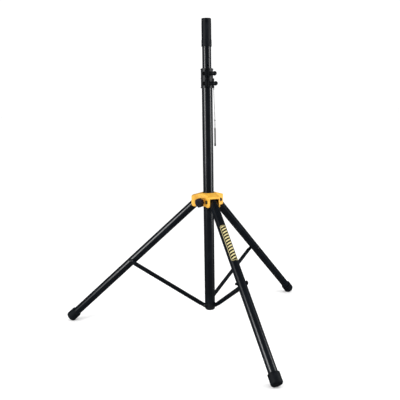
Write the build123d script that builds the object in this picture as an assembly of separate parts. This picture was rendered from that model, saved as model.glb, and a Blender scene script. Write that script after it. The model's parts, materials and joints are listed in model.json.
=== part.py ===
from build123d import *
from math import asin, atan2, cos, degrees, hypot, radians, sin, sqrt, tan
import os

# Speaker tripod stand, millimetres, +Z up, floor at Z = 0.
# Everything is modelled about the mast axis, then moved along Y so that the origin is under
# the middle of the footprint. Azimuth 0 points along -Y (the front leg) and grows towards +X.
# Each sub-part is drawn facing -Y, with its own right side towards +X, and turned into place.

# ---- driving dimensions -------------------------------------------------------------------
STAND_HEIGHT = 1239.0
OUTER_TUBE_R = 21.0
INNER_TUBE_R = 17.5
SLEEVE_R = 19.0
OUTER_WALL = 1.5
INNER_WALL = 2.0
LEG_R = 17.0
LEG_WALL = 1.5
LEG_ANGLE = 47.5
LEG_PIN_RADIUS = 45.0
LEG_PIN_Z = 530.2
LEG_LENGTH = 768.3
BRACE_ON_LEG = 379.0
BRACE_ROOT_RADIUS = 17.0
BRACE_ROOT_Z = 96.7
AZIMUTHS = {"front": 0.0, "left": -120.0, "right": 120.0}
CLAMP_AZIMUTH = -20.0
KNOB_AZIMUTH = -60.0
TETHER_AZIMUTH = 60.0

# ---- fits ---------------------------------------------------------------------------------
RUNNING = 0.08
SIDE_GAP = 0.3
SNUG = 0.05
TOUCH = 0.02

# ---- cutters and edges --------------------------------------------------------------------
PAST = 1.0
REACH = 60.0
EDGE_BREAK = 0.8

# ---- mast ---------------------------------------------------------------------------------
OUTER_TUBE_BOTTOM = 104.0
OUTER_TUBE_TOP = 1024.0
OUTER_BORE_R = OUTER_TUBE_R - OUTER_WALL
INNER_TUBE_BOTTOM = 200.0
INNER_BORE_R = INNER_TUBE_R - INNER_WALL
PIN_HOLE_R = 3.5
PIN_HOLE_TOP_Z = 1062.0
PIN_HOLE_PITCH = 80.0
PIN_HOLE_COUNT = 8
PIN_HOLE_AZIMUTH = -6.0
GUIDE_FLANGE = 5.0
GUIDE_LENGTH = 30.0
GUIDE_WALL = 3.0
STOP_RIVET_HEIGHTS = (816.0, 828.0)
STOP_RIVET_R = 1.6
STOP_RIVET_AZIMUTH = -13.0
STOP_RIVET_REACH = 1.1

# ---- top sleeve ---------------------------------------------------------------------------
SLEEVE_BOTTOM = 1132.5
SKIRT_R = 19.9
SKIRT_HEIGHT = 26.0
CAP_HEIGHT = 16.0
CAP_THICKNESS = 6.0
CAP_R = 18.7
CAP_GAP = 0.4
CAP_ROUND = 2.5
CAP_PLUG_LENGTH = 8.0
CAP_PLUG_WALL = 3.0
CAP_PLUG_FLOOR = 2.0
CAP_DISH_R = 13.5
CAP_DISH_DEPTH = 1.2
SKIRT_FLUTES = 12
FLUTE_WIDTH = 2.0
FLUTE_DEPTH = 0.8
FLUTE_LENGTH = 14.0
FLUTE_START = 6.0
SCREW_SEAT_DEPTH = 1.1
SLEEVE_SCREW_R = 1.5
SLEEVE_SCREW_DEPTH = 2.0
SLEEVE_HEAD_R = 2.8
SLEEVE_HEAD_SINK = 0.15
SLEEVE_SCREW_Z = 1184.0
SLEEVE_SCREW_AZIMUTH = 70.0

# ---- mast clamp ---------------------------------------------------------------------------
CLAMP_BOTTOM = 974.5
CLAMP_TOP = 1048.5
CLAMP_R = 23.8
CLAMP_FLANGE_R = 25.4
CLAMP_FLANGE_HEIGHT = 3.0
CLAMP_RING_R = 24.7
CLAMP_RING_DROP = 2.5
CLAMP_SLOT = 3.0
CLAMP_LEDGE_GAP = 0.5
LINER_BOTTOM = 1026.0
LINER_R = 20.4
LINER_LIP = 1.2
LINER_LIP_HEIGHT = 2.0
EAR_THICKNESS = 7.5
EAR_ROOT = 15.0
EAR_REACH = 42.0
EAR_HALF_HEIGHT = 15.0
EAR_ROUND = 8.0
SCREW_REACH = 33.0
SCREW_HEIGHTS = {"upper": 1029.6, "lower": 991.6}
BOSS_ENDS = {"upper": 20.2, "lower": 23.8}
T_BAR_CENTRES = {"upper": 28.9, "lower": 32.5}
SCREW_R = 4.0
BOSS_R = 7.5
T_BAR_NECK_R = 6.5
T_BAR_R = 8.3
T_BAR_LENGTH = 35.0
T_BAR_ROUND = 3.5
HANDLE_GAP = 0.4
NUT_FLATS = 13.0
NUT_HEIGHT = 6.5
BOLT_PROUD = 3.0
BOLT_SHORT = 2.0

# ---- lock pin and its tether --------------------------------------------------------------
TETHER_RADIUS = 29.2
ANCHOR_RADIUS = 26.2
ANCHOR_R = 1.8
ANCHOR_DEPTH = 9.0
ANCHOR_RIB_WIDTH = 9.0
ANCHOR_RIB_ROOT = 20.0
ANCHOR_RIB_REACH = 28.4
ANCHOR_RIB_ROUND = 3.0
WIRE_R = 0.9
WIRE_TOP = 967.0
WIRE_BOTTOM = 852.0
FERRULE_R = 2.3
FERRULE_LENGTH = 6.0
EYE_Z = 817.5
EYE_HOLE_R = 1.7
PIN_R = 2.75
PIN_TIP_Z = 748.0
PIN_SHOULDER_DROP = 6.0
PIN_GRIP_R = 3.3
PIN_GRIP_LENGTH = 12.0
PIN_GRIP_ROUND = 2.4
PIN_HEAD = (2.4, 5.6, 9.4)
PIN_HEAD_ROUND = 2.6
LOOP_HALF = 3.2
LOOP_SEAT = 0.1
LOOP_SHOULDER = 12.0
ARC_SHARE = 0.45
# route of the wire: height above the ferrule, and how far it bows from plumb in and round
WIRE_ROUTE = ((115.0, -3.0, 0.0), (80.0, -2.7, 0.5), (38.0, -0.6, -0.5), (0.0, 0.0, 0.0))

# ---- hub ----------------------------------------------------------------------------------
HUB_BOTTOM = 509.0
HUB_TOP = 563.0
HUB_ARM_REACH = 66.5
HUB_SLOT_HALF = 19.4
HUB_WALL = 4.8
HUB_DECK_R = 28.0
HUB_SLOPE = 0.29
HUB_SKIRT_R = 95.0
HUB_TOE_R = 13.0
HUB_EDGE_ROUND = 1.8
HUB_CORNER_R = 5.0
HUB_INNER_R = 3.0
HUB_INNER_CORNERS = 51.5
HUB_POCKET_START = 19.4
HUB_SLOT_START = 40.0
HUB_WEB_WIDTH = 52.0
HUB_WEB_ROOT = 20.0
HUB_WEB_REACH = 40.0
HUB_RELIEF_RADIUS = 30.3
HUB_RELIEF_R = 5.0
KNOB_BOSS_R = 9.0
KNOB_BOSS_REACH = 44.0
HUB_CORE_R = 25.4
HUB_BORE_R = 22.6
HUB_LINTEL_Z = 544.5
HUB_PIN_R = 4.0
HUB_PIN_TAIL = 4.0
HUB_HEAD_R = 6.5
HUB_HEAD_HEIGHT = 3.5
HUB_NUT_HEIGHT = 4.5
BUSH_PROUD = 1.0
BUSH_LIP = 1.4
BUSH_LIP_HEIGHT = 1.5
KNOB_Z = 527.5
KNOB_START = 49.0
KNOB_THICKNESS = 16.0
KNOB_R = 18.0
KNOB_ROUND = 1.5
KNOB_LOBES = 8
KNOB_SCALLOP_R = 5.2
KNOB_SCALLOP_OUT = 3.2
KNOB_NECK_R = 8.0
KNOB_NECK = 3.5
KNOB_DISH_R = 9.0
KNOB_DISH_DEPTH = 1.2
STUD_GAP = 0.35
STUD_DEPTH = 12.0

# ---- legs, feet and braces ----------------------------------------------------------------
LEG_TUBE_START = 10.0
LEG_HEAD_R = 14.0
LEG_BOSS_R = 9.8
LEG_NECK = 8.0
LEG_PLUG_LENGTH = 28.0
LEG_PLUG_CHAMFER = 1.0
FOOT_R = 21.5
FOOT_LENGTH = 42.0
FOOT_ROUND = 8.0
FOOT_CHAMFER = 1.5
FOOT_SOLE = 10.0
FOOT_GROOVES = (6.0, 10.0)
FOOT_GROOVE_WIDTH = 1.2
FOOT_GROOVE_DEPTH = 0.9
FOOT_SPACE = 200.0
SPACER_R = 6.0
SPACER_SINK = 1.2
STRIP_WIDTH = 16.5
CHANNEL_DEPTH = 6.0
CHANNEL_START = 16.0
CHANNEL_LIP = 0.5
STRIP_THICKNESS = 2.5
STRIP_INNER = 20.3
BRACE_BOLT_R = 3.0
BRACE_BOLT_TAIL = 4.0
BRACE_HEAD_R = 6.5
BRACE_HEAD_HEIGHT = 3.8
CAP_NUT_FLATS = 10.0
CAP_NUT_HEIGHT = 5.5
CAP_NUT_DOME_R = 4.6
CAP_NUT_DOME = 3.5

# ---- bottom fitting -----------------------------------------------------------------------
FITTING_BOTTOM = 74.0
FITTING_ROUND = 9.0
LUG_INNER = 9.0
LUG_OUTER = STRIP_INNER - SIDE_GAP
LUG_DROP = 9.0
LUG_HEIGHT = 16.0
LUG_PAST = 8.0
LUG_ROUND = 7.5
FITTING_PLUG = 4.0
SCREW_DEPTH = 4.0
ROOT_HEAD_R = 6.0
ROOT_HEAD_HEIGHT = 3.2

# ---- derived places -----------------------------------------------------------------------
LEG_TIP_RADIUS = LEG_PIN_RADIUS + LEG_LENGTH * sin(radians(LEG_ANGLE))
BRACE_END_RADIUS = LEG_PIN_RADIUS + BRACE_ON_LEG * sin(radians(LEG_ANGLE))
BRACE_END_Z = LEG_PIN_Z - BRACE_ON_LEG * cos(radians(LEG_ANGLE))
BRACE_RUN = BRACE_END_RADIUS - BRACE_ROOT_RADIUS
BRACE_RISE = BRACE_END_Z - BRACE_ROOT_Z
BRACE_LENGTH = hypot(BRACE_RUN, BRACE_RISE)
BRACE_ANGLE = degrees(atan2(BRACE_RUN, BRACE_RISE))
FOLDED_BRACE_ANGLE = degrees(asin((LEG_PIN_RADIUS - BRACE_ROOT_RADIUS) / BRACE_LENGTH))
FOLDED_PIN_Z = BRACE_ROOT_Z + BRACE_LENGTH * cos(radians(FOLDED_BRACE_ANGLE)) + BRACE_ON_LEG
HUB_TRAVEL = FOLDED_PIN_Z - LEG_PIN_Z


def foot_reach(facing):
    """How far a foot reaches along a level direction, whose cosine to the leg is facing."""
    tip = facing * (LEG_TIP_RADIUS - FOOT_ROUND * sin(radians(LEG_ANGLE)))
    tilt = sqrt(1.0 - (facing * sin(radians(LEG_ANGLE))) ** 2)
    return tip + (FOOT_R - FOOT_ROUND) * tilt + FOOT_ROUND


MAST_Y = (foot_reach(1.0) - foot_reach(0.5)) / 2.0

CENTRE_MIN = (Align.CENTER, Align.CENTER, Align.MIN)
OUTWARD_MIN = (Align.CENTER, Align.MAX, Align.MIN)

nodes = {}


def keep(name, shape, azimuth=0.0):
    """Turn a sub-part to its azimuth, set it over the mast's place and keep it by name."""
    nodes[name] = Pos(0, MAST_Y, 0) * Rot(0, 0, azimuth) * shape


def upright(radius, low, high):
    return Pos(0, 0, low) * Cylinder(radius, high - low, align=CENTRE_MIN)


def across(radius, start, end, y, z):
    """A cylinder along X."""
    return Pos(start, y, z) * Rot(0, 90, 0) * Cylinder(radius, end - start, align=CENTRE_MIN)


def outward(radius, start, end, z):
    """A cylinder that points away from the mast, along -Y."""
    return Pos(0, -start, z) * Rot(90, 0, 0) * Cylinder(radius, end - start, align=CENTRE_MIN)


def hexagon(flats, start, end, y, z):
    """A hexagonal prism along X."""
    outline = RegularPolygon(flats / 2, 6, major_radius=False)
    return Pos(start, y, z) * Rot(0, 90, 0) * extrude(outline, end - start)


def dome(radius, height, start, y, z, side=1):
    """A domed head along X, its flat face at start, rising towards side."""
    ball_r = (radius ** 2 + height ** 2) / (2 * height)
    cap = Pos(0, 0, height - ball_r) * Sphere(ball_r)
    cap &= Cylinder(radius + PAST, height + PAST, align=CENTRE_MIN)
    return Pos(start, y, z) * Rot(0, 90 * side, 0) * cap


# ---- mast ---------------------------------------------------------------------------------
def make_mast():
    tube = upright(OUTER_TUBE_R, OUTER_TUBE_BOTTOM, OUTER_TUBE_TOP)
    tube -= upright(OUTER_BORE_R, OUTER_TUBE_BOTTOM - PAST, OUTER_TUBE_TOP + PAST)
    turn = Rot(0, 0, STOP_RIVET_AZIMUTH)
    rivets = []
    for height in STOP_RIVET_HEIGHTS:
        tube -= turn * outward(STOP_RIVET_R, 0, REACH, height)
        rivet = outward(STOP_RIVET_R, OUTER_BORE_R - STOP_RIVET_REACH, OUTER_TUBE_R, height)
        rivets.append(turn * (rivet & upright(OUTER_TUBE_R, OUTER_TUBE_BOTTOM, OUTER_TUBE_TOP)))
    keep("outer_tube", tube)
    keep("stop_rivets", Compound(children=rivets))


def make_inner_mast():
    top = STAND_HEIGHT - CAP_THICKNESS
    tube = upright(INNER_TUBE_R, INNER_TUBE_BOTTOM, top)
    tube -= upright(INNER_BORE_R, INNER_TUBE_BOTTOM - PAST, top + PAST)
    for step in range(PIN_HOLE_COUNT):
        height = PIN_HOLE_TOP_Z - step * PIN_HOLE_PITCH
        tube -= Rot(0, 0, PIN_HOLE_AZIMUTH) * outward(PIN_HOLE_R, -REACH, REACH, height)
    screw_turn = Rot(0, 0, SLEEVE_SCREW_AZIMUTH)
    tube -= screw_turn * outward(SLEEVE_SCREW_R, 0, REACH, SLEEVE_SCREW_Z)
    keep("inner_tube", tube)

    flange_low = INNER_TUBE_BOTTOM - GUIDE_FLANGE
    guide = upright(OUTER_BORE_R - RUNNING, flange_low, INNER_TUBE_BOTTOM)
    guide_top = INNER_TUBE_BOTTOM + GUIDE_LENGTH
    guide += upright(INNER_BORE_R - SNUG, INNER_TUBE_BOTTOM, guide_top)
    guide = chamfer(guide.faces().sort_by(Axis.Z)[0].edges(), EDGE_BREAK)
    guide -= upright(INNER_BORE_R - GUIDE_WALL, flange_low - PAST, guide_top + PAST)
    keep("inner_guide", guide)

    cap_low = STAND_HEIGHT - CAP_HEIGHT
    sleeve = upright(SLEEVE_R, SLEEVE_BOTTOM, cap_low - CAP_GAP)
    sleeve += upright(SKIRT_R, SLEEVE_BOTTOM, SLEEVE_BOTTOM + SKIRT_HEIGHT)
    rings = sleeve.edges().filter_by(GeomType.CIRCLE)
    sleeve = chamfer(rings.filter_by(lambda edge: edge.radius > SLEEVE_R + SNUG), EDGE_BREAK)
    sleeve -= upright(INNER_TUBE_R + TOUCH, SLEEVE_BOTTOM - PAST, cap_low)
    flute = Pos(0, -SKIRT_R, SLEEVE_BOTTOM + FLUTE_START)
    flute = flute * Box(FLUTE_WIDTH, FLUTE_DEPTH, FLUTE_LENGTH, align=CENTRE_MIN)
    for step in range(SKIRT_FLUTES):
        sleeve -= Rot(0, 0, (step + 0.5) * 360 / SKIRT_FLUTES) * flute
    seat = SLEEVE_R - SCREW_SEAT_DEPTH
    sleeve -= screw_turn * outward(SLEEVE_SCREW_R, 0, REACH, SLEEVE_SCREW_Z)
    sleeve -= screw_turn * outward(SLEEVE_HEAD_R + 2 * SNUG, seat, REACH, SLEEVE_SCREW_Z)
    keep("top_sleeve", sleeve)
    screw = outward(SLEEVE_SCREW_R, INNER_BORE_R - SLEEVE_SCREW_DEPTH, seat, SLEEVE_SCREW_Z)
    screw += outward(SLEEVE_HEAD_R, seat, SLEEVE_R - SLEEVE_HEAD_SINK, SLEEVE_SCREW_Z)
    keep("sleeve_screw", screw_turn * screw)

    cap = upright(CAP_R, cap_low, STAND_HEIGHT)
    cap = fillet(cap.faces().sort_by(Axis.Z)[-1].edges(), CAP_ROUND)
    cap -= upright(INNER_TUBE_R + TOUCH, cap_low - PAST, top)
    plug_low = top - CAP_PLUG_LENGTH
    cap += upright(INNER_BORE_R - SNUG, plug_low, top)
    cap -= upright(INNER_BORE_R - CAP_PLUG_WALL, plug_low - PAST, top - CAP_PLUG_FLOOR)
    cap -= upright(CAP_DISH_R, STAND_HEIGHT - CAP_DISH_DEPTH, STAND_HEIGHT + PAST)
    keep("sleeve_cap", cap)


# ---- clamp --------------------------------------------------------------------------------
def make_clamp():
    middle = (CLAMP_TOP + CLAMP_BOTTOM) / 2
    collar = upright(CLAMP_R, CLAMP_BOTTOM, CLAMP_TOP)
    rings = {
        CLAMP_BOTTOM: CLAMP_FLANGE_R,
        middle - CLAMP_RING_DROP: CLAMP_RING_R,
        CLAMP_TOP - CLAMP_FLANGE_HEIGHT: CLAMP_FLANGE_R,
    }
    for low, ring_r in rings.items():
        collar += upright(ring_r, low, low + CLAMP_FLANGE_HEIGHT)
    width = 2 * EAR_THICKNESS + CLAMP_SLOT
    for name, height in SCREW_HEIGHTS.items():
        ear = Pos(0, -EAR_ROOT, height - EAR_HALF_HEIGHT) * Box(
            width, EAR_REACH - EAR_ROOT, 2 * EAR_HALF_HEIGHT, align=OUTWARD_MIN
        )
        front = ear.edges().filter_by(Axis.X).group_by(Axis.Y)[0]
        collar += fillet(front, EAR_ROUND)
        collar += across(BOSS_R, width / 2 - PAST, BOSS_ENDS[name], -SCREW_REACH, height)
    collar = collar - Pos(0, -EAR_ROOT, CLAMP_BOTTOM - PAST) * Box(
        CLAMP_SLOT, REACH, CLAMP_TOP - CLAMP_BOTTOM + 2 * PAST, align=OUTWARD_MIN
    )
    rib_turn = Rot(0, 0, TETHER_AZIMUTH - CLAMP_AZIMUTH)
    rib = Pos(0, -ANCHOR_RIB_ROOT, CLAMP_BOTTOM) * Box(
        ANCHOR_RIB_WIDTH,
        ANCHOR_RIB_REACH - ANCHOR_RIB_ROOT,
        middle - CLAMP_BOTTOM,
        align=OUTWARD_MIN,
    )
    rib_front = rib.edges().filter_by(Axis.Z).group_by(Axis.Y)[0]
    collar += rib_turn * fillet(rib_front, ANCHOR_RIB_ROUND)
    anchor_hole = upright(ANCHOR_R, CLAMP_BOTTOM - PAST, CLAMP_BOTTOM + ANCHOR_DEPTH)
    collar -= rib_turn * Pos(0, -ANCHOR_RADIUS, 0) * anchor_hole
    ledge = OUTER_TUBE_TOP + CLAMP_LEDGE_GAP
    collar -= upright(OUTER_TUBE_R + SNUG, CLAMP_BOTTOM - PAST, ledge)
    collar -= upright(LINER_R, OUTER_TUBE_TOP, CLAMP_TOP + PAST)
    for height in SCREW_HEIGHTS.values():
        collar -= across(SCREW_R + SIDE_GAP, -REACH, REACH, -SCREW_REACH, height)
    keep("clamp_collar", collar, CLAMP_AZIMUTH)

    liner = upright(LINER_R - SNUG, LINER_BOTTOM, CLAMP_TOP)
    lip_top = CLAMP_TOP + LINER_LIP_HEIGHT
    liner += upright(LINER_R + LINER_LIP, CLAMP_TOP, lip_top)
    liner -= upright(INNER_TUBE_R + RUNNING, LINER_BOTTOM - PAST, lip_top + PAST)
    liner -= Pos(0, 0, LINER_BOTTOM - PAST) * Box(CLAMP_SLOT, REACH, REACH, align=OUTWARD_MIN)
    keep("clamp_liner", liner, CLAMP_AZIMUTH)

    nuts = []
    ear_face = -width / 2
    nut_face = ear_face - NUT_HEIGHT
    bar_start = SCREW_REACH - T_BAR_LENGTH / 2
    for name, height in SCREW_HEIGHTS.items():
        nut = hexagon(NUT_FLATS, nut_face, ear_face, -SCREW_REACH, height)
        nut -= across(SCREW_R + RUNNING, -REACH, 0, -SCREW_REACH, height)
        nuts.append(nut)
        bar_x = T_BAR_CENTRES[name]
        bolt = across(SCREW_R, nut_face - BOLT_PROUD, bar_x - BOLT_SHORT, -SCREW_REACH, height)
        bolt = chamfer(bolt.edges().group_by(Axis.X)[0], EDGE_BREAK)
        keep("clamp_bolt_" + name, bolt, CLAMP_AZIMUTH)
        handle = across(T_BAR_NECK_R, BOSS_ENDS[name] + HANDLE_GAP, bar_x, -SCREW_REACH, height)
        bar = outward(T_BAR_R, bar_start, bar_start + T_BAR_LENGTH, height)
        bar = fillet(bar.edges().filter_by(GeomType.CIRCLE), T_BAR_ROUND)
        handle += Pos(bar_x, 0, 0) * bar
        keep("t_handle_" + name, handle - bolt, CLAMP_AZIMUTH)
    keep("clamp_nuts", Compound(children=nuts), CLAMP_AZIMUTH)


# ---- tether and lock pin ------------------------------------------------------------------
def tether_point(height, bow, drift):
    return Vector(drift, -TETHER_RADIUS - bow, WIRE_BOTTOM + height)


def make_tether():
    points = [tether_point(*step) for step in WIRE_ROUTE]
    radii = []
    for before, corner, after in zip(points, points[1:], points[2:]):
        run_in = corner - before
        run_out = after - corner
        half_turn = radians(run_in.get_angle(run_out)) / 2
        radii.append(ARC_SHARE * min(run_in.length, run_out.length) / tan(half_turn))
    path = FilletPolyline(*points, radius=radii)
    section = Plane(origin=points[0], z_dir=path % 0) * Circle(WIRE_R)
    wire = sweep(section, path)
    slab = Pos(0, -TETHER_RADIUS, WIRE_BOTTOM)
    slab = slab * Box(REACH, REACH, WIRE_TOP - WIRE_BOTTOM, align=CENTRE_MIN)
    keep("tether_wire", wire & slab, TETHER_AZIMUTH)
    expected = section.area * path.length
    print("tether radii", [round(radius, 1) for radius in radii], "length", round(path.length, 2))
    print("tether volume / (section x length)", round(wire.volume / expected, 4))

    place = Pos(0, -TETHER_RADIUS, 0)
    anchor = Pos(0, -ANCHOR_RADIUS, 0) * upright(ANCHOR_R, WIRE_TOP, CLAMP_BOTTOM + ANCHOR_DEPTH)
    keep("tether_anchor", anchor, TETHER_AZIMUTH)
    ferrule_low = WIRE_BOTTOM - FERRULE_LENGTH
    ferrule = upright(FERRULE_R, ferrule_low, WIRE_BOTTOM)
    keep("tether_ferrule", place * ferrule, TETHER_AZIMUTH)

    half = LOOP_HALF
    neck = WIRE_R + SNUG
    bottom = EYE_Z - LOOP_SEAT
    spread = ferrule_low - LOOP_SHOULDER
    outline = (
        (-neck, 0, ferrule_low),
        (-half, 0, spread),
        (-half, 0, bottom),
        (half, 0, bottom),
        (half, 0, spread),
        (neck, 0, ferrule_low),
    )
    loop_path = FilletPolyline(*outline, radius=half - SNUG)
    loop = sweep(Plane(origin=outline[0], z_dir=loop_path % 0) * Circle(WIRE_R), loop_path)
    loop &= Pos(0, 0, ferrule_low - REACH) * Box(REACH, REACH, REACH, align=CENTRE_MIN)
    keep("tether_loop", place * loop, TETHER_AZIMUTH)

    shoulder = EYE_Z - PIN_SHOULDER_DROP
    pin = upright(PIN_R, PIN_TIP_Z, shoulder)
    grip = upright(PIN_GRIP_R, PIN_TIP_Z, PIN_TIP_Z + PIN_GRIP_LENGTH)
    pin += fillet(grip.edges().filter_by(GeomType.CIRCLE), PIN_GRIP_ROUND)
    head = Pos(0, 0, shoulder) * Box(*PIN_HEAD, align=CENTRE_MIN)
    pin += fillet(head.edges().filter_by(Axis.X).group_by(Axis.Z)[-1], PIN_HEAD_ROUND)
    pin -= across(EYE_HOLE_R, -REACH, REACH, 0, EYE_Z)
    keep("lock_pin", place * pin, TETHER_AZIMUTH)


# ---- hub ----------------------------------------------------------------------------------
def hub_crown(drop=0.0):
    """All the space under the hub's sloping top, lowered by drop."""
    fall = HUB_SLOPE * (HUB_SKIRT_R - HUB_DECK_R)
    eave = HUB_TOP - fall - drop
    roof = Pos(0, 0, eave) * Cone(HUB_SKIRT_R, HUB_DECK_R, fall, align=CENTRE_MIN)
    return upright(HUB_SKIRT_R, HUB_BOTTOM - REACH, eave) + roof


def inner_corners(plan):
    return [spot for spot in plan.vertices() if hypot(spot.X, spot.Y) < HUB_INNER_CORNERS]


def hub_blank(half):
    """The core, three arms and the web over the knob, under the sloping top."""
    plan = Sketch() + Circle(HUB_CORE_R)
    for azimuth in AZIMUTHS.values():
        arm = Rectangle(2 * half, HUB_ARM_REACH, align=(Align.CENTER, Align.MAX))
        plan += Rot(0, 0, azimuth) * fillet(arm.vertices().group_by(Axis.Y)[0], HUB_CORNER_R)
    web_depth = HUB_WEB_REACH - HUB_WEB_ROOT
    web = Rectangle(HUB_WEB_WIDTH, web_depth, align=(Align.CENTER, Align.MAX))
    roof_plan = plan + Rot(0, 0, KNOB_AZIMUTH) * Pos(0, -HUB_WEB_ROOT) * web
    plan = fillet(inner_corners(plan), HUB_INNER_R)
    roof_plan = fillet(inner_corners(roof_plan), HUB_INNER_R)
    blank = Pos(0, 0, HUB_LINTEL_Z) * extrude(roof_plan, HUB_TOP - HUB_LINTEL_Z)
    blank += Pos(0, 0, HUB_BOTTOM) * extrude(plan, HUB_LINTEL_Z - HUB_BOTTOM)
    blank &= hub_crown()
    eaves = []
    for roof in blank.faces().filter_by(GeomType.CONE):
        eaves += [edge for edge in roof.edges() if (edge @ 0.5).Z < HUB_TOP - TOUCH]
    seams = [edge for edge in eaves if edge.geom_type == GeomType.LINE]
    return fillet([edge for edge in eaves if edge not in seams], HUB_EDGE_ROUND)


def hub_arm_hollow():
    """What one arm leaves open: the pocket over the leg, its slot and the rounded toe."""
    low = HUB_BOTTOM - PAST
    width = 2 * HUB_SLOT_HALF
    pocket_depth = HUB_ARM_REACH - HUB_WALL - HUB_POCKET_START
    pocket = Box(width, pocket_depth, HUB_TOP - low, align=OUTWARD_MIN)
    pocket = Pos(0, -HUB_POCKET_START, low) * pocket
    slot = Box(width, REACH, HUB_LINTEL_Z - low, align=OUTWARD_MIN)
    slot = Pos(0, -HUB_SLOT_START, low) * slot
    toe_start = HUB_ARM_REACH - HUB_TOE_R
    toe = Box(2 * REACH, HUB_TOE_R + PAST, HUB_TOE_R + PAST, align=OUTWARD_MIN)
    toe = Pos(0, -toe_start, low) * toe
    toe -= across(HUB_TOE_R, -REACH, REACH, -toe_start, HUB_BOTTOM + HUB_TOE_R)
    return (pocket & hub_crown(HUB_WALL)) + slot + toe


def make_hub():
    half = HUB_SLOT_HALF + HUB_WALL
    knob_turn = Rot(0, 0, KNOB_AZIMUTH)
    casting = hub_blank(half)
    for azimuth in AZIMUTHS.values():
        casting -= Rot(0, 0, azimuth) * hub_arm_hollow()
    casting += upright(HUB_CORE_R, HUB_BOTTOM, HUB_TOP - PAST)
    casting += knob_turn * outward(KNOB_BOSS_R, HUB_BORE_R, KNOB_BOSS_REACH, KNOB_Z)
    relief = upright(HUB_RELIEF_R, HUB_BOTTOM - PAST, HUB_TOP + PAST)
    casting -= Rot(0, 0, TETHER_AZIMUTH) * Pos(0, -HUB_RELIEF_RADIUS, 0) * relief
    casting -= upright(HUB_BORE_R, HUB_BOTTOM - PAST, HUB_TOP + PAST)
    stud_hole = knob_turn * outward(SCREW_R + SIDE_GAP, 0, REACH, KNOB_Z)
    casting -= stud_hole
    pins = []
    nuts = []
    for azimuth in AZIMUTHS.values():
        turn = Rot(0, 0, azimuth)
        pin_hole = across(HUB_PIN_R, -REACH, REACH, -LEG_PIN_RADIUS, LEG_PIN_Z)
        casting -= turn * pin_hole
        pin = across(HUB_PIN_R, -half - HUB_PIN_TAIL, half, -LEG_PIN_RADIUS, LEG_PIN_Z)
        pin += dome(HUB_HEAD_R, HUB_HEAD_HEIGHT, half, -LEG_PIN_RADIUS, LEG_PIN_Z)
        pins.append(turn * pin)
        nut = hexagon(NUT_FLATS, -half - HUB_NUT_HEIGHT, -half, -LEG_PIN_RADIUS, LEG_PIN_Z)
        nuts.append(turn * (nut - pin_hole))
    keep("hub_casting", casting)
    keep("hub_pins", Compound(children=pins))
    keep("hub_pin_nuts", Compound(children=nuts))

    bush_low = HUB_BOTTOM - BUSH_PROUD
    bush_top = HUB_TOP + BUSH_LIP_HEIGHT
    bush = upright(HUB_BORE_R - TOUCH, bush_low, HUB_TOP)
    bush += upright(HUB_BORE_R + BUSH_LIP, HUB_TOP, bush_top)
    bush -= upright(OUTER_TUBE_R + RUNNING, bush_low - PAST, bush_top + PAST)
    keep("hub_bush", bush - stud_hole)


def make_knob():
    stud = outward(SCREW_R, OUTER_TUBE_R + STUD_GAP, KNOB_START + STUD_DEPTH, KNOB_Z)
    keep("hub_knob_stud", stud, KNOB_AZIMUTH)
    outline = Sketch() + Circle(KNOB_R)
    scallop = Pos(KNOB_R + KNOB_SCALLOP_OUT, 0) * Circle(KNOB_SCALLOP_R)
    for lobe in range(KNOB_LOBES):
        outline -= Rot(0, 0, (lobe + 0.5) * 360 / KNOB_LOBES) * scallop
    body = extrude(outline, KNOB_THICKNESS)
    ends = body.faces().filter_by(Axis.Z)
    body = fillet(ends.sort_by(Axis.Z)[-1].edges() + ends.sort_by(Axis.Z)[0].edges(), KNOB_ROUND)
    body += upright(KNOB_NECK_R, -KNOB_NECK, PAST)
    body -= upright(KNOB_DISH_R, KNOB_THICKNESS - KNOB_DISH_DEPTH, KNOB_THICKNESS + PAST)
    knob = Pos(0, -KNOB_START, KNOB_Z) * Rot(90, 0, 0) * body
    keep("hub_knob", knob - stud, KNOB_AZIMUTH)


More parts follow.
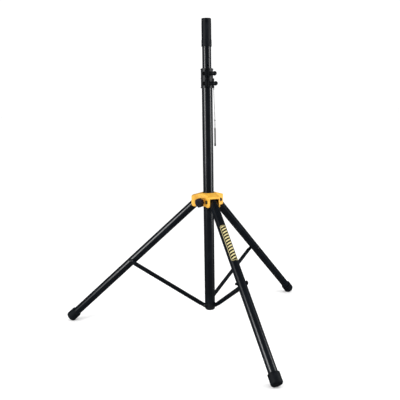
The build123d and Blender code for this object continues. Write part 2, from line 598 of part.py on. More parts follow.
# ---- legs ---------------------------------------------------------------------------------
def make_leg(name, azimuth):
    place = Pos(0, -LEG_PIN_RADIUS, LEG_PIN_Z) * Rot(-LEG_ANGLE, 0, 0)
    end = LEG_LENGTH - FOOT_SOLE
    tube = upright(LEG_R, -end, -LEG_TUBE_START) - upright(LEG_R - LEG_WALL, -end - PAST, 0)
    tube -= across(BRACE_BOLT_R + 2 * SNUG, -REACH, REACH, 0, -BRACE_ON_LEG)
    keep("leg_tube_" + name, place * tube, azimuth)

    head = upright(LEG_R, -LEG_TUBE_START, LEG_HEAD_R)
    side = across(LEG_HEAD_R, -REACH, REACH, 0, 0)
    side += Pos(0, 0, -LEG_TUBE_START) * Box(2 * REACH, 2 * LEG_R, LEG_NECK, align=CENTRE_MIN)
    head &= side
    plug = upright(LEG_R - LEG_WALL - SNUG, -LEG_TUBE_START - LEG_PLUG_LENGTH, -LEG_TUBE_START)
    head += chamfer(plug.faces().sort_by(Axis.Z)[0].edges(), LEG_PLUG_CHAMFER)
    boss_reach = HUB_SLOT_HALF - SIDE_GAP
    head += across(LEG_BOSS_R, -boss_reach, boss_reach, 0, 0)
    head -= across(HUB_PIN_R + RUNNING, -REACH, REACH, 0, 0)
    keep("leg_head_" + name, place * head, azimuth)

    foot = upright(FOOT_R, -LEG_LENGTH, -LEG_LENGTH + FOOT_LENGTH)
    foot = fillet(foot.faces().sort_by(Axis.Z)[0].edges(), FOOT_ROUND)
    foot = chamfer(foot.faces().sort_by(Axis.Z)[-1].edges(), FOOT_CHAMFER)
    for groove in FOOT_GROOVES:
        low = -LEG_LENGTH + FOOT_LENGTH - groove
        top = low + FOOT_GROOVE_WIDTH
        foot -= upright(FOOT_R + PAST, low, top) - upright(FOOT_R - FOOT_GROOVE_DEPTH, low, top)
    foot -= upright(LEG_R + TOUCH, -end, 0)
    above_floor = Box(FOOT_SPACE, FOOT_SPACE, FOOT_SPACE, align=CENTRE_MIN)
    foot = (place * foot) & (Pos(0, -LEG_TIP_RADIUS, 0) * above_floor)
    keep("foot_" + name, foot, azimuth)

    spacer = across(SPACER_R, LEG_R - SPACER_SINK, STRIP_INNER - SIDE_GAP, 0, -BRACE_ON_LEG)
    spacer -= upright(LEG_R + TOUCH, -LEG_LENGTH, 0)
    spacer -= across(BRACE_BOLT_R + TOUCH, 0, REACH, 0, -BRACE_ON_LEG)
    keep("brace_spacer_" + name, place * spacer, azimuth)
    bolt_end = -LEG_R - BRACE_BOLT_TAIL
    bolt = across(BRACE_BOLT_R, bolt_end, STRIP_INNER - SIDE_GAP, 0, -BRACE_ON_LEG)
    keep("brace_bolt_" + name, place * bolt, azimuth)
    nut_end = -LEG_R - CAP_NUT_HEIGHT
    nut = hexagon(CAP_NUT_FLATS, nut_end, -LEG_R - SIDE_GAP, 0, -BRACE_ON_LEG)
    nut += dome(CAP_NUT_DOME_R, CAP_NUT_DOME, nut_end, 0, -BRACE_ON_LEG, side=-1)
    keep("brace_cap_nut_" + name, place * (nut - bolt), azimuth)


# ---- braces -------------------------------------------------------------------------------
def make_brace(name, azimuth):
    place = Pos(0, -BRACE_ROOT_RADIUS, BRACE_ROOT_Z) * Rot(BRACE_ANGLE, 0, 0)
    half = STRIP_WIDTH / 2
    outline = Pos(BRACE_LENGTH / 2, 0) * SlotCenterToCenter(BRACE_LENGTH, STRIP_WIDTH)
    strip = extrude(outline, STRIP_THICKNESS)
    for side in (-1, 1):
        flange = Pos(BRACE_LENGTH / 2, side * (half - STRIP_THICKNESS / 2), 0) * Box(
            BRACE_LENGTH - 2 * CHANNEL_START, STRIP_THICKNESS, CHANNEL_DEPTH, align=CENTRE_MIN
        )
        ends = flange.edges().filter_by(Axis.Y).group_by(Axis.Z)[-1]
        strip += chamfer(ends, CHANNEL_DEPTH - STRIP_THICKNESS - CHANNEL_LIP)
    strip = Plane(origin=(STRIP_INNER, 0, 0), x_dir=(0, 0, 1), z_dir=(1, 0, 0)) * strip
    strip -= across(BRACE_BOLT_R + RUNNING, 0, REACH, 0, 0)
    strip -= across(BRACE_BOLT_R, 0, REACH, 0, BRACE_LENGTH)
    keep("brace_strip_" + name, place * strip, azimuth)

    outer = STRIP_INNER + STRIP_THICKNESS
    screw = across(BRACE_BOLT_R, STRIP_INNER, outer, 0, BRACE_LENGTH)
    screw += dome(BRACE_HEAD_R, BRACE_HEAD_HEIGHT, outer, 0, BRACE_LENGTH)
    keep("brace_screw_" + name, place * screw, azimuth)


# ---- bottom fitting -----------------------------------------------------------------------
def make_bottom_fitting():
    fitting = upright(OUTER_TUBE_R, FITTING_BOTTOM, OUTER_TUBE_BOTTOM)
    fitting = fillet(fitting.faces().sort_by(Axis.Z)[0].edges(), FITTING_ROUND)
    plug_top = OUTER_TUBE_BOTTOM + FITTING_PLUG
    fitting += upright(OUTER_BORE_R - SNUG, OUTER_TUBE_BOTTOM - PAST, plug_top)
    width = LUG_OUTER - LUG_INNER
    lug = Box(width, BRACE_ROOT_RADIUS + LUG_PAST, LUG_HEIGHT, align=OUTWARD_MIN)
    lug = Pos(LUG_INNER + width / 2, 0, BRACE_ROOT_Z - LUG_DROP) * lug
    lug = fillet(lug.edges().filter_by(Axis.X).group_by(Axis.Y)[0], LUG_ROUND)
    for azimuth in AZIMUTHS.values():
        fitting += Rot(0, 0, azimuth) * lug
    head_start = STRIP_INNER + STRIP_THICKNESS + SIDE_GAP
    shank = across(BRACE_BOLT_R, SCREW_DEPTH, head_start, -BRACE_ROOT_RADIUS, BRACE_ROOT_Z)
    head = dome(ROOT_HEAD_R, ROOT_HEAD_HEIGHT, head_start, -BRACE_ROOT_RADIUS, BRACE_ROOT_Z)
    screws = []
    for azimuth in AZIMUTHS.values():
        fitting -= Rot(0, 0, azimuth) * shank
        screws.append(Rot(0, 0, azimuth) * (shank + head))
    keep("bottom_fitting", fitting)
    keep("brace_root_screws", Compound(children=screws))


make_mast()
make_inner_mast()
make_clamp()
make_tether()
make_hub()
make_knob()
for leg_name, leg_azimuth in AZIMUTHS.items():
    make_leg(leg_name, leg_azimuth)
    make_brace(leg_name, leg_azimuth)
make_bottom_fitting()

os.makedirs("parts", exist_ok=True)
for node_name, node_shape in nodes.items():
    export_step(node_shape, os.path.join("parts", node_name + ".step"))

print("mast axis at Y", round(MAST_Y, 3), "hub travel", round(HUB_TRAVEL, 3))
print("brace", round(BRACE_LENGTH, 3), round(BRACE_ANGLE, 3), round(FOLDED_BRACE_ANGLE, 3))
print("nodes", len(nodes))
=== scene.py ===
import json
from math import cos, pi, radians, sin

import bpy
import bmesh
from mathutils import Matrix, Vector


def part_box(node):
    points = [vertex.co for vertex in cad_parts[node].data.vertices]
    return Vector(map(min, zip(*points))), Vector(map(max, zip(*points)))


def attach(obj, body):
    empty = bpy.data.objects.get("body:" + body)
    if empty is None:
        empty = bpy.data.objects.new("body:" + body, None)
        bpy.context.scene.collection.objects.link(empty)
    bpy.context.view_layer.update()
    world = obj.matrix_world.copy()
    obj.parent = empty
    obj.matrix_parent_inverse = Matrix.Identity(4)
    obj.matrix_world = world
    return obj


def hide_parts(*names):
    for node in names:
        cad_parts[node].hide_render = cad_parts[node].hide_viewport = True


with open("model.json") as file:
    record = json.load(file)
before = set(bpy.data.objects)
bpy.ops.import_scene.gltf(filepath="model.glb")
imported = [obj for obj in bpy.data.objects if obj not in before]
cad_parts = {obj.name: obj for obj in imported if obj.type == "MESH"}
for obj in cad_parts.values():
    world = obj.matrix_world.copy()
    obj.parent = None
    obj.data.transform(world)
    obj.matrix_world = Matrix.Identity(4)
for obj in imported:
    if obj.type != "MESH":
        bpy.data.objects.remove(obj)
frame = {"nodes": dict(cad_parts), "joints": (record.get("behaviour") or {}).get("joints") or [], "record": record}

MM = 0.001
nodes = frame["nodes"]
record = frame["record"]
joints = {joint["name"]: joint for joint in frame["joints"]}


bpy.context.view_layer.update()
pole = next(mount for mount in record["mounts"] if mount["name"] == "speaker_pole")
MAST = Vector((pole["pos_m"][0], pole["pos_m"][1], 0.0))
UP = Vector((0, 0, 1))
LEG_NAMES = ("front", "left", "right")
BADGE_LEG = "front"


# ---- camera -------------------------------------------------------------------------------
CAMERA_AZIMUTH = radians(-19.9)
CAMERA_ELEVATION = 0.1598
CAMERA_DISTANCE = 2.526
CAMERA_ROLL = -0.0155
CAMERA_LENS = 56.53
AIM_SIDE = -0.0346
AIM_HEIGHT = 0.532
CAMERA_REACH = 100


def toward(azimuth):
    """The level direction at an azimuth that grows from -Y towards +X."""
    return Vector((sin(azimuth), -cos(azimuth), 0.0))


def rightward(azimuth):
    return Vector((cos(azimuth), sin(azimuth), 0.0))


def add_camera():
    aim = MAST + rightward(CAMERA_AZIMUTH) * AIM_SIDE + UP * AIM_HEIGHT
    arm = toward(CAMERA_AZIMUTH) * cos(CAMERA_ELEVATION) + UP * sin(CAMERA_ELEVATION)
    data = bpy.data.cameras.new("camera")
    data.lens = CAMERA_LENS
    data.clip_end = CAMERA_REACH
    camera = bpy.data.objects.new("camera", data)
    bpy.context.scene.collection.objects.link(camera)
    turn = (-arm).to_track_quat("-Z", "Y").to_matrix().to_4x4()
    place = Matrix.Translation(aim + arm * CAMERA_DISTANCE)
    camera.matrix_world = place @ turn @ Matrix.Rotation(CAMERA_ROLL, 4, "Z")
    bpy.context.scene.camera = camera


add_camera()


# ---- tether wire --------------------------------------------------------------------------
TETHER_AZIMUTH = radians(60.0)
TETHER_RADIUS = 29.2 * MM
WIRE_R = 0.9 * MM
WIRE_BOTTOM = 852.0 * MM
WIRE_STEPS = 100
STRANDS = 6
STRAND_R = WIRE_R / 3
STRAND_SIDES = 6
STRAND_LAY = 9.0 * MM
# height above the ferrule, bow from plumb away from the mast, drift sideways, all in mm
WIRE_ROUTE = ((115.0, -3.0, 0.0), (80.0, -2.7, 0.5), (38.0, -0.6, -0.5), (0.0, 0.0, 0.0))


def tether_point(height, bow, drift):
    level = toward(TETHER_AZIMUTH) * (TETHER_RADIUS + bow * MM)
    level += rightward(TETHER_AZIMUTH) * drift * MM
    return MAST + level + UP * (WIRE_BOTTOM + height * MM)


def wire_line(route):
    """Points along the wire's smooth line, read from the spline through its route."""
    data = bpy.data.curves.new("wire_line", "CURVE")
    data.dimensions = "3D"
    data.resolution_u = WIRE_STEPS
    spline = data.splines.new("NURBS")
    spline.points.add(len(route) - 1)
    for point, place in zip(spline.points, route):
        point.co = (*place, 1.0)
    spline.order_u = 3
    spline.use_endpoint_u = True
    line = bpy.data.objects.new("wire_line", data)
    mesh = bpy.data.meshes.new_from_object(line)
    points = [vertex.co.copy() for vertex in mesh.vertices]
    bpy.data.meshes.remove(mesh)
    bpy.data.objects.remove(line)
    bpy.data.curves.remove(data)
    return points


def add_strand(mesh, line, offset, start_turn):
    """One strand of the wire rope: a closed thin tube that winds round the wire's line."""
    rings = []
    along = 0.0
    for step, point in enumerate(line):
        before = line[max(step - 1, 0)]
        after = line[min(step + 1, len(line) - 1)]
        along += (point - before).length
        axis = (after - before).normalized()
        first = axis.cross(rightward(TETHER_AZIMUTH)).normalized()
        second = axis.cross(first)
        turn = 2 * pi * along / STRAND_LAY + start_turn
        centre = point + (first * cos(turn) + second * sin(turn)) * offset
        ring = []
        for side in range(STRAND_SIDES):
            angle = 2 * pi * side / STRAND_SIDES
            out = (first * cos(angle) + second * sin(angle)) * STRAND_R
            ring.append(mesh.verts.new(centre + out))
        rings.append(ring)
    for low, high in zip(rings, rings[1:]):
        for side in range(STRAND_SIDES):
            following = (side + 1) % STRAND_SIDES
            mesh.faces.new((low[side], low[following], high[following], high[side]))
    mesh.faces.new(rings[0][::-1])
    mesh.faces.new(rings[-1])


def add_wire():
    route = [tether_point(*step) for step in WIRE_ROUTE]
    line = wire_line(route)
    mesh = bmesh.new()
    add_strand(mesh, line, 0.0, 0.0)
    for strand in range(STRANDS):
        add_strand(mesh, line, WIRE_R - STRAND_R, 2 * pi * strand / STRANDS)
    bmesh.ops.recalc_face_normals(mesh, faces=mesh.faces)
    for face in mesh.faces:
        face.smooth = len(face.verts) == 4
    data = bpy.data.meshes.new("tether_cable")
    mesh.to_mesh(data)
    mesh.free()
    wire = bpy.data.objects.new("tether_cable", data)
    bpy.context.scene.collection.objects.link(wire)
    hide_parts("tether_wire")
    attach(wire, "mast")
    return wire


wire = add_wire()


# ---- material helpers ---------------------------------------------------------------------
NOISE_ROUGHNESS = 0.55


class Shader:
    """A material with a Principled shader, and short ways to add and join its nodes."""

    def __init__(self, name, along=None):
        self.material = bpy.data.materials.new(name)
        self.material.use_nodes = True
        self.tree = self.material.node_tree
        self.surface = self.tree.nodes["Principled BSDF"]
        coords = self.tree.nodes.new("ShaderNodeTexCoord")
        mapping = self.tree.nodes.new("ShaderNodeMapping")
        self.tree.links.new(coords.outputs["Object"], mapping.inputs["Vector"])
        self.turn = Matrix.Identity(3)
        if along is not None:
            turn = along.to_track_quat("Z", "Y").inverted()
            self.turn = turn.to_matrix()
            mapping.inputs["Rotation"].default_value = turn.to_euler()
        self.place = mapping.outputs["Vector"]

    def add(self, kind, **settings):
        node = self.tree.nodes.new(kind)
        for name, value in settings.items():
            setattr(node, name, value)
        return node

    def turned(self, point):
        """A point of the object, in the turned coordinates that the pattern uses."""
        return self.turn @ point

    def join(self, source, target):
        self.tree.links.new(source, target)

    def scaled(self, stretch):
        node = self.add("ShaderNodeMapping")
        node.inputs["Scale"].default_value = stretch
        self.join(self.place, node.inputs["Vector"])
        return node.outputs["Vector"]

    def noise(self, scale, detail=4.0, stretch=None):
        node = self.add("ShaderNodeTexNoise")
        node.inputs["Scale"].default_value = scale
        node.inputs["Detail"].default_value = detail
        node.inputs["Roughness"].default_value = NOISE_ROUGHNESS
        self.join(self.scaled(stretch) if stretch else self.place, node.inputs["Vector"])
        return node.outputs["Fac"]

    def cells(self, scale):
        node = self.add("ShaderNodeTexVoronoi")
        node.inputs["Scale"].default_value = scale
        self.join(self.place, node.inputs["Vector"])
        return node.outputs["Distance"]

    def spread(self, source, low, high, to_low=0.0, to_high=1.0):
        node = self.add("ShaderNodeMapRange")
        node.interpolation_type = "SMOOTHSTEP"
        values = {"From Min": low, "From Max": high, "To Min": to_low, "To Max": to_high}
        for name, value in values.items():
            node.inputs[name].default_value = value
        self.join(source, node.inputs["Value"])
        return node.outputs["Result"]

    def mixed(self, factor, first, second):
        node = self.add("ShaderNodeMix", data_type="RGBA")
        self.join(factor, node.inputs["Factor"])
        for socket, colour in (("A", first), ("B", second)):
            target = next(s for s in node.inputs if s.name == socket and s.type == "RGBA")
            if isinstance(colour, tuple):
                target.default_value = (*colour, 1.0)
            else:
                self.join(colour, target)
        return next(s for s in node.outputs if s.type == "RGBA")

    def bump(self, source, distance, strength, under=None):
        node = self.add("ShaderNodeBump")
        node.inputs["Distance"].default_value = distance
        node.inputs["Strength"].default_value = strength
        self.join(source, node.inputs["Height"])
        if under is not None:
            self.join(under, node.inputs["Normal"])
        return node.outputs["Normal"]

    def finish(self, colour=None, roughness=None, normal=None, **constants):
        for name, source in (("Base Color", colour), ("Roughness", roughness), ("Normal", normal)):
            if source is not None:
                self.join(source, self.surface.inputs[name])
        for name, value in constants.items():
            self.surface.inputs[name.replace("_", " ")].default_value = value
        return self.material


BLACK_COAT = (0.0014, 0.0030, 0.0054)
BLACK_COAT_WORN = (0.0042, 0.0066, 0.0100)
BLACK_NYLON = (0.0020, 0.0036, 0.0062)
BLACK_NYLON_DUSTY = (0.0060, 0.0084, 0.0125)
# painted reflection: the knob's purple-blue tint stands in for the sky reflected on its face; it is not dust
KNOB_PAINTED_REFLECTION = (0.022, 0.012, 0.034)
COAT_PEEL_SCALE = 900.0
COAT_PEEL_DEPTH = 0.00006
COAT_PEEL_STRENGTH = 0.5
COAT_RUB_SCALE = 160.0
COAT_RUB_STRETCH = (1.0, 1.0, 0.02)
COAT_RUB_SPAN = (0.35, 0.75)
COAT_ROUGHNESS = (0.25, 0.36)
COAT_DUST_SCALE = 14.0
COAT_DUST_SPAN = (0.45, 0.75)
COAT_IOR = 1.5


def powder_coat(name, along, badge_pin=None):
    """Semi-gloss black powder coat with orange peel, faint rub marks along it and dust."""
    shader = Shader(name, along)
    peel = shader.noise(COAT_PEEL_SCALE, detail=2.0)
    rubs = shader.noise(COAT_RUB_SCALE, detail=3.0, stretch=COAT_RUB_STRETCH)
    patches = shader.noise(COAT_DUST_SCALE, detail=5.0)
    dust = shader.spread(patches, *COAT_DUST_SPAN)
    colour = shader.mixed(dust, BLACK_COAT, BLACK_COAT_WORN)
    marks = shader.spread(rubs, *COAT_RUB_SPAN, *COAT_ROUGHNESS)
    normal = shader.bump(peel, COAT_PEEL_DEPTH, COAT_PEEL_STRENGTH)
    if badge_pin is not None:
        colour = decal(shader, badge_pin, colour)
    return shader.finish(colour, marks, normal, IOR=COAT_IOR)


# the badge wraps round the leg tube, and is placed by its distance from the hub pin
LEG_R = 17.0 * MM
DECAL_GOLD = (0.60, 0.52, 0.25)
DECAL_START = 128.0 * MM
DECAL_END = 288.0 * MM
DECAL_HALF_ANGLE = radians(48.0)
DECAL_BORDER = 1.6 * MM
DECAL_CORNER = 7.0 * MM
DECAL_MARGIN = 4.4 * MM
DECAL_BAR_PITCH = 13.0 * MM
DECAL_BAR_SLANT = 0.45
DECAL_BAR_SHARE = 0.46


class Field:
    """Short arithmetic between shader sockets and numbers."""

    def __init__(self, shader):
        self.shader = shader

    def calc(self, operation, *terms):
        node = self.shader.add("ShaderNodeMath", operation=operation)
        for socket, term in zip(node.inputs, terms):
            if isinstance(term, (int, float)):
                socket.default_value = term
            else:
                self.shader.join(term, socket)
        return node.outputs["Value"]

    def box_distance(self, across, along, half_width, half_length, corner):
        """How far a point is outside a rectangle with round corners, less than 0 inside."""
        edge = []
        for place, half in ((across, half_width), (along, half_length)):
            gap = self.calc("SUBTRACT", self.calc("ABSOLUTE", place), half - corner)
            edge.append(self.calc("MAXIMUM", gap, 0.0))
        squares = [self.calc("MULTIPLY", gap, gap) for gap in edge]
        reach = self.calc("SQRT", self.calc("ADD", *squares))
        return self.calc("SUBTRACT", reach, corner)


def decal(shader, pin, under):
    """A plain badge with no lettering on top of a leg: a pale frame round slanted bars."""
    field = Field(shader)
    middle = (DECAL_START + DECAL_END) / 2
    half_length = (DECAL_END - DECAL_START) / 2
    half_width = DECAL_HALF_ANGLE * LEG_R
    shift = shader.add("ShaderNodeVectorMath", operation="SUBTRACT")
    shader.join(shader.place, shift.inputs[0])
    shift.inputs[1].default_value = shader.turned(pin)
    split = shader.add("ShaderNodeSeparateXYZ")
    shader.join(shift.outputs["Vector"], split.inputs["Vector"])
    around = field.calc("ARCTAN2", split.outputs["X"], split.outputs["Y"])
    across = field.calc("MULTIPLY", around, LEG_R)
    along = field.calc("SUBTRACT", split.outputs["Z"], middle)
    outer = field.box_distance(across, along, half_width, half_length, DECAL_CORNER)
    inside = field.calc("LESS_THAN", outer, 0.0)
    frame_line = field.calc("MULTIPLY", inside, field.calc("GREATER_THAN", outer, -DECAL_BORDER))
    bar_area = field.calc("LESS_THAN", outer, -DECAL_MARGIN)
    slant = field.calc("ADD", along, field.calc("MULTIPLY", across, DECAL_BAR_SLANT))
    phase = field.calc("FRACT", field.calc("DIVIDE", slant, DECAL_BAR_PITCH))
    bars = field.calc("MULTIPLY", bar_area, field.calc("LESS_THAN", phase, DECAL_BAR_SHARE))
    pale = field.calc("MAXIMUM", frame_line, bars)
    return shader.mixed(pale, under, DECAL_GOLD)


NYLON_GRAIN_SCALE = 2600.0
NYLON_GRAIN_DEPTH = 0.00012
NYLON_GRAIN_STRENGTH = 0.45
NYLON_CLOUD_SCALE = 35.0
NYLON_DUST_AND_REFLECTION_SPAN = (0.4, 0.8)
NYLON_GLOSS_SPAN = (0.2, 0.8)
NYLON_SHINIER = 0.06
NYLON_DULLER = 0.08
NYLON_IOR = 1.48


def nylon(name, gloss=0.46, sheen=0.5, dust_and_painted_reflection=BLACK_NYLON_DUSTY):
    """Black moulded nylon with a fine spark-eroded grain."""
    shader = Shader(name)
    grain = shader.cells(NYLON_GRAIN_SCALE)
    cloud = shader.noise(NYLON_CLOUD_SCALE)
    # a second colour in cloudy patches: dust on most nylon parts, and on the knob a painted purple-blue reflection
    # tint
    colour = shader.mixed(shader.spread(cloud, *NYLON_DUST_AND_REFLECTION_SPAN), BLACK_NYLON, dust_and_painted_reflection)
    rough = shader.spread(cloud, *NYLON_GLOSS_SPAN, gloss - NYLON_SHINIER, gloss + NYLON_DULLER)
    normal = shader.bump(grain, NYLON_GRAIN_DEPTH, NYLON_GRAIN_STRENGTH)
    return shader.finish(colour, rough, normal, IOR=NYLON_IOR, Specular_IOR_Level=sheen)


YELLOW = (0.76, 0.415, 0.052)
YELLOW_DEEP = (0.67, 0.325, 0.028)
YELLOW_PEEL_SCALE = 700.0
YELLOW_PEEL_DEPTH = 0.00010
YELLOW_PEEL_STRENGTH = 0.5
CAST_SWELL_SCALE = 70.0
CAST_SWELL_DEPTH = 0.0006
CAST_SWELL_STRENGTH = 0.3
YELLOW_DEEP_SPAN = (0.35, 0.75)
YELLOW_ROUGH_SPAN = (0.2, 0.8)
YELLOW_ROUGHNESS = (0.32, 0.44)


def yellow_coat():
    """Golden yellow powder coat over a cast surface."""
    shader = Shader("yellow_coat")
    peel = shader.noise(YELLOW_PEEL_SCALE, detail=3.0)
    swell = shader.noise(CAST_SWELL_SCALE)
    colour = shader.mixed(shader.spread(swell, *YELLOW_DEEP_SPAN), YELLOW, YELLOW_DEEP)
    rough = shader.spread(swell, *YELLOW_ROUGH_SPAN, *YELLOW_ROUGHNESS)
    under = shader.bump(swell, CAST_SWELL_DEPTH, CAST_SWELL_STRENGTH)
    normal = shader.bump(peel, YELLOW_PEEL_DEPTH, YELLOW_PEEL_STRENGTH, under=under)
    return shader.finish(colour, rough, normal, IOR=COAT_IOR)


ZINC = (0.56, 0.56, 0.54)
ZINC_DULL = (0.36, 0.36, 0.35)
ZINC_LINE_SCALE = 400.0
ZINC_LINE_STRETCH = (1.0, 1.0, 0.12)
ZINC_LINE_DEPTH = 0.00005
ZINC_LINE_STRENGTH = 0.6
ZINC_LINE_SPAN = (0.3, 0.7)
ZINC_ROUGHNESS = (0.26, 0.42)
ZINC_CLOUD_SCALE = 90.0
ZINC_CLOUD_SPAN = (0.35, 0.7)
BLACKENED = 0.12


def zinc_plate(name="zinc_plate", bright=1.0):
    """Bright zinc-plated steel with turning marks."""
    shader = Shader(name)
    lines = shader.noise(ZINC_LINE_SCALE, detail=3.0, stretch=ZINC_LINE_STRETCH)
    cloud = shader.noise(ZINC_CLOUD_SCALE)
    light = tuple(channel * bright for channel in ZINC)
    dull = tuple(channel * bright for channel in ZINC_DULL)
    colour = shader.mixed(shader.spread(cloud, *ZINC_CLOUD_SPAN), light, dull)
    rough = shader.spread(lines, *ZINC_LINE_SPAN, *ZINC_ROUGHNESS)
    normal = shader.bump(lines, ZINC_LINE_DEPTH, ZINC_LINE_STRENGTH)
    return shader.finish(colour, rough, normal, Metallic=1.0)


RUBBER = (0.0016, 0.0034, 0.0064)
RUBBER_DUSTY = (0.0070, 0.0100, 0.0150)
RUBBER_PEBBLE_SCALE = 1500.0
RUBBER_PEBBLE_DEPTH = 0.00015
RUBBER_PEBBLE_STRENGTH = 0.5
RUBBER_CLOUD_SCALE = 40.0
RUBBER_DUST_SPAN = (0.42, 0.8)
RUBBER_ROUGH_SPAN = (0.2, 0.8)
RUBBER_ROUGHNESS = (0.55, 0.78)
RUBBER_IOR = 1.42
RUBBER_SHEEN = 0.30


def rubber():
    """Matt black rubber, a little dusty, with a fine pebbled surface."""
    shader = Shader("foot_rubber")
    pebbles = shader.cells(RUBBER_PEBBLE_SCALE)
    cloud = shader.noise(RUBBER_CLOUD_SCALE, detail=5.0)
    colour = shader.mixed(shader.spread(cloud, *RUBBER_DUST_SPAN), RUBBER, RUBBER_DUSTY)
    rough = shader.spread(cloud, *RUBBER_ROUGH_SPAN, *RUBBER_ROUGHNESS)
    normal = shader.bump(pebbles, RUBBER_PEBBLE_DEPTH, RUBBER_PEBBLE_STRENGTH)
    return shader.finish(colour, rough, normal, IOR=RUBBER_IOR, Specular_IOR_Level=RUBBER_SHEEN)


ROPE_STEEL = (0.20, 0.20, 0.205)
ROPE_SOOT = (0.030, 0.031, 0.034)
ROPE_SOOT_SCALE = 300.0
ROPE_SOOT_SPAN = (0.35, 0.7)
ROPE_DRAWN_SCALE = 2200.0
ROPE_DRAWN_STRETCH = (1.0, 1.0, 0.1)
ROPE_DRAWN_DEPTH = 0.00003
ROPE_DRAWN_STRENGTH = 0.5
ROPE_DRAWN_SPAN = (0.2, 0.8)
ROPE_ROUGHNESS = (0.34, 0.52)


def wire_rope():
    """Greyed steel wire, darker where soot and oil have settled."""
    shader = Shader("wire_rope")
    soot = shader.spread(shader.noise(ROPE_SOOT_SCALE, detail=5.0), *ROPE_SOOT_SPAN)
    drawn = shader.noise(ROPE_DRAWN_SCALE, detail=3.0, stretch=ROPE_DRAWN_STRETCH)
    colour = shader.mixed(soot, ROPE_STEEL, ROPE_SOOT)
    rough = shader.spread(drawn, *ROPE_DRAWN_SPAN, *ROPE_ROUGHNESS)
    normal = shader.bump(drawn, ROPE_DRAWN_DEPTH, ROPE_DRAWN_STRENGTH)
    return shader.finish(colour, rough, normal, Metallic=1.0)


# ---- what each node is made of ------------------------------------------------------------
def leg_line(name):
    """The direction down a leg, from its hub pin through the middle of its tube."""
    pin = Vector(joints["leg_fold_" + name]["pos_m"])
    low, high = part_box("leg_tube_" + name)
    return ((low + high) / 2 - pin).normalized()


def brace_line(name):
    """The direction of a brace, from its root through the middle of its strip."""
    low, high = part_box("brace_strip_" + name)
    root = Vector(joints["brace_fold_" + name]["pos_m"])
    return ((low + high) / 2 - root).normalized()


def paint(material, *names):
    for name in names:
        nodes[name].data.materials.clear()
        nodes[name].data.materials.append(material)


mast_coat = powder_coat("mast_coat", UP)
steel = zinc_plate()
dark_steel = zinc_plate("blackened_steel", BLACKENED)
plastic = nylon("moulded_nylon")
satin = nylon("satin_nylon", gloss=0.50, sheen=0.20)
# the knob's colour carries a painted purple-blue reflection tint in cloudy patches
knob_nylon = nylon("knob_nylon", gloss=0.42, sheen=0.22, dust_and_painted_reflection=KNOB_PAINTED_REFLECTION)
oxide = nylon("black_oxide", gloss=0.34, sheen=0.8)
paint(mast_coat, "outer_tube", "inner_tube", "stop_rivets")
paint(plastic, "clamp_collar", "clamp_liner", "inner_guide", "hub_bush", "bottom_fitting")
paint(plastic, "tether_ferrule", "t_handle_upper", "t_handle_lower")
paint(knob_nylon, "hub_knob")
paint(satin, "top_sleeve", "sleeve_cap")
paint(yellow_coat(), "hub_casting")
paint(dark_steel, "clamp_nuts", "clamp_bolt_upper", "clamp_bolt_lower")
paint(steel, "hub_knob_stud", "sleeve_screw", "tether_anchor")
paint(oxide, "hub_pins", "hub_pin_nuts", "brace_root_screws")
paint(satin, "lock_pin")
rope = wire_rope()
paint(rope, "tether_loop")
wire.data.materials.append(rope)
foot_rubber = rubber()
for leg in LEG_NAMES:
    badge_pin = Vector(joints["leg_fold_" + leg]["pos_m"]) if leg == BADGE_LEG else None
    paint(powder_coat("leg_coat_" + leg, leg_line(leg), badge_pin), "leg_tube_" + leg)
    paint(powder_coat("brace_coat_" + leg, brace_line(leg)), "brace_strip_" + leg)
    paint(plastic, "leg_head_" + leg, "brace_spacer_" + leg)
    paint(oxide, "brace_bolt_" + leg, "brace_cap_nut_" + leg, "brace_screw_" + leg)
    paint(foot_rubber, "foot_" + leg)


# ---- studio -------------------------------------------------------------------------------
SOFTBOX_DISTANCE = 2.4
LEFT_STRIP = {"azimuth": CAMERA_AZIMUTH + radians(-58), "width": 0.55, "height": 1.45,
              "power": 36, "middle": 1.15}
RIGHT_STRIP = {"azimuth": CAMERA_AZIMUTH + radians(77), "width": 0.5, "height": 2.3,
               "power": 42, "middle": 1.25}
SKY_LIGHT = 1.08
SKY_REFLECTED = 0.07
WHITE = (1, 1, 1, 1)
FLOOR_HALF = 40.0
FLOOR_WHITE = (0.98, 0.98, 0.98, 1.0)
FLOOR_ROUGHNESS = 0.9
FLOOR_SHEEN = 0.1


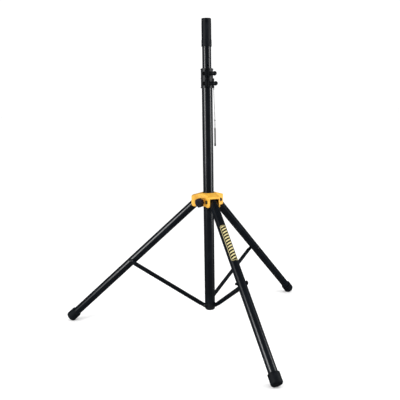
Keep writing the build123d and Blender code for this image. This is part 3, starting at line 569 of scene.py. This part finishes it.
def add_softbox(name, azimuth, width, height, power, middle):
    """An upright strip light that faces the mast, with its middle at a height."""
    data = bpy.data.lights.new(name, "AREA")
    data.shape = "RECTANGLE"
    data.size = width
    data.size_y = height
    data.energy = power
    light = bpy.data.objects.new(name, data)
    arm = toward(azimuth)
    place = MAST + UP * middle + arm * SOFTBOX_DISTANCE
    turn = (-arm).to_track_quat("-Z", "Y").to_matrix().to_4x4()
    light.matrix_world = Matrix.Translation(place) @ turn
    bpy.context.scene.collection.objects.link(light)


def add_world():
    """White to the eye and to rough surfaces, nearly black to reflections."""
    world = bpy.data.worlds.new("studio")
    world.use_nodes = True
    tree = world.node_tree
    bright = tree.nodes["Background"]
    bright.inputs["Color"].default_value = WHITE
    bright.inputs["Strength"].default_value = SKY_LIGHT
    dark = tree.nodes.new("ShaderNodeBackground")
    dark.inputs["Color"].default_value = WHITE
    dark.inputs["Strength"].default_value = SKY_REFLECTED
    path = tree.nodes.new("ShaderNodeLightPath")
    mix = tree.nodes.new("ShaderNodeMixShader")
    tree.links.new(path.outputs["Is Glossy Ray"], mix.inputs["Fac"])
    tree.links.new(bright.outputs["Background"], mix.inputs[1])
    tree.links.new(dark.outputs["Background"], mix.inputs[2])
    tree.links.new(mix.outputs["Shader"], tree.nodes["World Output"].inputs["Surface"])
    bpy.context.scene.world = world


def add_studio():
    mesh = bpy.data.meshes.new("floor")
    half = FLOOR_HALF
    ground = [(-half, -half, 0), (half, -half, 0), (half, half, 0), (-half, half, 0)]
    mesh.from_pydata(ground, [], [(0, 1, 2, 3)])
    floor = bpy.data.objects.new("floor", mesh)
    bpy.context.scene.collection.objects.link(floor)
    floor.data.materials.append(Shader("floor_white").finish(
        Base_Color=FLOOR_WHITE, Roughness=FLOOR_ROUGHNESS, Specular_IOR_Level=FLOOR_SHEEN
    ))
    floor.visible_glossy = False
    add_world()
    add_softbox("left_strip", **LEFT_STRIP)
    add_softbox("right_strip", **RIGHT_STRIP)
    bpy.context.scene.view_settings.view_transform = "Standard"


add_studio()
